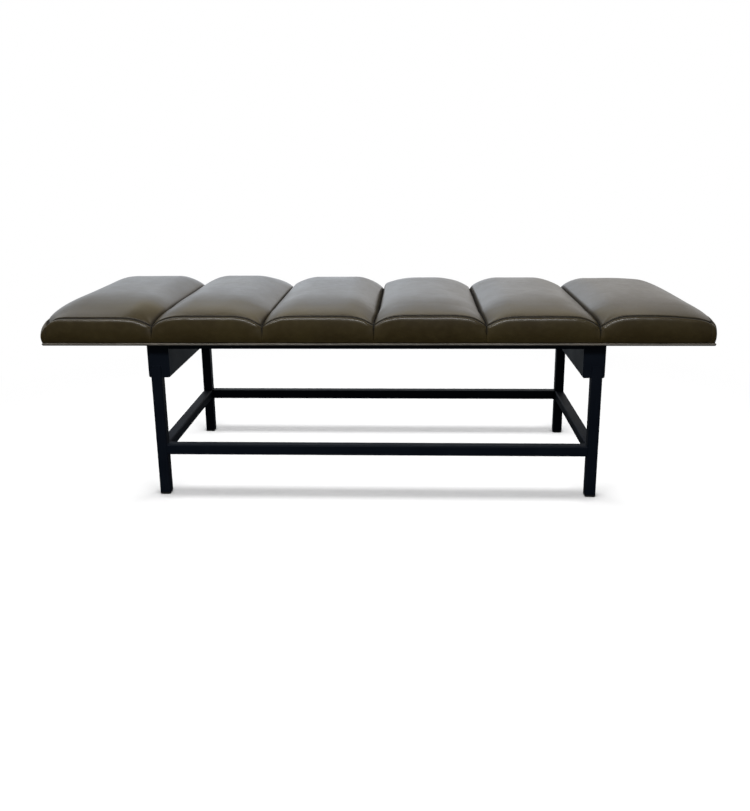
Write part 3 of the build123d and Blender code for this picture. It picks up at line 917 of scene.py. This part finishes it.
def moulded_plastic():
    """Black moulded plastic with a fine spark texture."""
    s = Shader("black_glide_plastic")
    spark = s.noise(1400, detail=3)
    scuff = s.noise(240, detail=4, place=s.stretched(1, 0.2, 1))
    colour = s.blend(s.span(scuff, 0.6, 0.8, 0, 0.6), (0.008, 0.008, 0.009), (0.035, 0.035, 0.036))
    roughness = s.span(spark, 0.3, 0.7, 0.42, 0.62)
    return s.finish(colour, roughness, s.bump(spark, 0.05 * mm), IOR=1.5)


def plated_steel():
    """Zinc-plated steel, faintly brushed."""
    s = Shader("zinc_plated_steel")
    brush = s.noise(900, detail=3, place=s.stretched(1, 1, 0.06))
    stain = s.noise(160, detail=3)
    colour = s.blend(s.span(stain, 0.4, 0.7, 0, 1), (0.5, 0.51, 0.52), (0.64, 0.63, 0.58))
    roughness = s.span(s.sum(brush, stain), 0.7, 1.3, 0.26, 0.46)
    return s.finish(colour, roughness, s.bump(brush, 0.02 * mm), Metallic=1.0)


def set_material(obj, material):
    """Gives an object one material."""
    obj.data.materials.clear()
    obj.data.materials.append(material)


def make_camera():
    """The camera at the photograph's place, with the photograph's framing."""
    a, b = camera_pitch, camera_yaw
    ahead = Vector((math.sin(b) * math.cos(a), math.cos(b) * math.cos(a), -math.sin(a)))
    right = Vector((math.cos(b), -math.sin(b), 0))
    up = right.cross(ahead)
    turned_right = right * math.cos(camera_roll) + up * math.sin(camera_roll)
    turned_up = up * math.cos(camera_roll) - right * math.sin(camera_roll)
    data = bpy.data.cameras.new("camera")
    data.sensor_width = sensor_size
    data.lens = focal_pixels * sensor_size / image_height
    data.shift_x = (image_width / 2 - principal_x) / image_height
    data.shift_y = (principal_y - image_height / 2) / image_height
    camera = bpy.data.objects.new("camera", data)
    bpy.context.scene.collection.objects.link(camera)
    turn = Matrix((turned_right, turned_up, -ahead)).transposed()
    camera.matrix_world = Matrix.Translation(camera_place) @ turn.to_4x4()
    bpy.context.scene.camera = camera


def make_world():
    """White behind the camera's view. For the object, a studio with a bright wall behind it."""
    world = bpy.data.worlds.new("studio")
    bpy.context.scene.world = world
    world.use_nodes = True
    world.node_tree.nodes.clear()
    n = Nodes(world.node_tree)
    direction = n.add("ShaderNodeTexCoord").outputs["Generated"]
    toward = n.add("ShaderNodeSeparateXYZ", {0: direction}).outputs
    behind = n.span(toward["Y"], *wall_start, 0, 1)
    low = n.span(toward["Z"], *wall_top, 1, 0)
    left = n.span(toward["X"], *wall_left, wall_left_share, 1)
    right = n.span(toward["X"], *wall_right, 1, wall_right_share)
    wall = n.product(n.product(behind, low), n.product(n.product(left, right), wall_strength))
    front = n.span(toward["Y"], *ceiling_start, front_strength, ceiling_strength)
    warm = n.span(toward["X"], *wall_warming, 0, 1)
    tint = n.add("ShaderNodeMix", {0: warm, 6: wall_cool, 7: wall_warm}, data_type="RGBA")
    glow = n.add("ShaderNodeBackground", {"Color": tint.outputs[2], "Strength": wall}).outputs[0]
    room = n.add("ShaderNodeBackground", {"Strength": front, "Color": (1, 1, 1, 1)}).outputs[0]
    studio = n.add("ShaderNodeAddShader", {0: glow, 1: room}).outputs[0]
    white = n.add("ShaderNodeBackground", {"Color": (1, 1, 1, 1)}).outputs[0]
    seen = n.add("ShaderNodeLightPath").outputs["Is Camera Ray"]
    n.add("ShaderNodeOutputWorld", {0: n.mixed(seen, studio, white)})


def make_lamp(name, place, aim, length, width, watts, colour=(1.0, 1.0, 1.0)):
    """A soft rectangular lamp."""
    data = bpy.data.lights.new(name, "AREA")
    data.shape = "RECTANGLE"
    data.size, data.size_y, data.energy, data.color = length, width, watts, colour
    lamp = bpy.data.objects.new(name, data)
    lamp.location = Vector(place)
    lamp.rotation_euler = (Vector(aim) - Vector(place)).to_track_quat("-Z", "Y").to_euler()
    bpy.context.scene.collection.objects.link(lamp)
    return lamp


def make_floor():
    """A pale floor that fades to white and can be looked through from below. A lamp of its own lights
    nothing else, and casts the shadows of the legs, the glides and the two long stretchers."""
    line = np.linspace(-floor_size / 2, floor_size / 2, floor_cells + 1)
    x, y = np.meshgrid(line, line)
    points = np.stack([x.ravel(), y.ravel(), np.full(x.size, -floor_gap)], 1)
    floor = mesh_object("floor", points, grid_quads(np.arange(x.size).reshape(x.shape)))
    material = bpy.data.materials.new("pale_floor")
    material.use_nodes = True
    material.node_tree.nodes.clear()
    n = Nodes(material.node_tree)
    path = n.add("ShaderNodeLightPath").outputs
    place = n.add("ShaderNodeTexCoord").outputs["Object"]
    from_middle = n.add("ShaderNodeVectorMath", {0: place}, operation="LENGTH").outputs["Value"]
    far = n.span(from_middle, *floor_fade, 0, 1)
    grey = (floor_share, floor_share, floor_share, 1)
    pale = n.add("ShaderNodeBsdfDiffuse", {"Color": grey}).outputs[0]
    white = n.add("ShaderNodeEmission", {"Color": (1, 1, 1, 1)}).outputs[0]
    behind = n.add("ShaderNodeSeparateXYZ", {0: place}).outputs["Y"]
    gloss = n.span(behind, *floor_gloss_turn, floor_front_gloss, floor_back_gloss)
    bounce = n.span(path["Is Diffuse Ray"], 0, 1, gloss, floor_soft_light)
    reflected = n.add("ShaderNodeEmission", {"Color": floor_tint, "Strength": bounce}).outputs[0]
    seen = n.mixed(path["Is Camera Ray"], reflected, n.mixed(far, pale, white))
    clear = n.add("ShaderNodeBsdfTransparent").outputs[0]
    below = n.add("ShaderNodeNewGeometry").outputs["Backfacing"]
    n.add("ShaderNodeOutputMaterial", {0: n.mixed(below, seen, clear)})
    set_material(floor, material)
    above, aim = (0, floor_lamp_y, floor_lamp_height), (0, floor_lamp_y, 0)
    lamp = make_lamp("floor_lamp", above, aim, floor_lamp_length, floor_lamp_depth, floor_lamp_watts)
    lit = bpy.data.collections.new("lit_floor")
    lit.objects.link(floor)
    casting = bpy.data.collections.new("floor_shadow_casters")
    for name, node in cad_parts.items():
        if name.startswith(("leg_", "stretcher_front", "stretcher_back", "glide_")):
            casting.objects.link(node)
    lamp.light_linking.receiver_collection = lit
    lamp.light_linking.blocker_collection = casting
    return floor


bpy.context.scene.view_settings.view_transform = "Standard"
make_camera()
make_world()
not_floor = bpy.data.collections.new("not_floor")
not_floor.objects.link(make_floor())
not_floor.collection_objects[0].light_linking.link_state = "EXCLUDE"
for name, settings in lamps.items():
    make_lamp(name, *settings).light_linking.receiver_collection = not_floor

olive_browns = (0.033, 0.0222, 0.0062), (0.046, 0.0333, 0.0096), (0.058, 0.0432, 0.015)
# The welt's leather is painted lighter and greyer than the seat's, a painted highlight along the cord
welt_highlight_greys = (0.1, 0.088, 0.07), (0.15, 0.133, 0.11), (0.2, 0.18, 0.155)
seat_leather = leather("olive_brown_leather", *olive_browns, 0.28, 0.36)
welt_leather = leather("welt_leather", *welt_highlight_greys, 0.36, 0.46)
black_steel = powder_coat()
foam = open_foam()
black_cloth = spun_cloth()
zinc = plated_steel()
node_materials = {
    "seat_board": plywood(),
    "base_foam": foam,
    "dust_cover": black_cloth,
    "welt": welt_leather,
    "seat_bolts": zinc,
    "bolt_washers": zinc,
    "tee_nuts": zinc,
    "glide": moulded_plastic(),
}
for name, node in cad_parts.items():
    found = [material for start, material in node_materials.items() if name.startswith(start)]
    set_material(node, found[0] if found else black_steel)

for number, piece in enumerate(make_channels(), 1):
    set_material(piece, seat_leather)
    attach(piece, "root")
    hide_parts(f"channel_cover_{number}", f"channel_foam_{number}")

welt = make_welt()
set_material(welt, welt_leather)
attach(welt, "root")
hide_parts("welt")

slab = make_base_foam()
set_material(slab, foam)
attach(slab, "root")
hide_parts("base_foam")

staples = make_staples()
set_material(staples, zinc)
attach(staples, "root")

cloth = make_dust_cloth()
set_material(cloth, black_cloth)
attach(cloth, "root")
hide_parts("dust_cover")
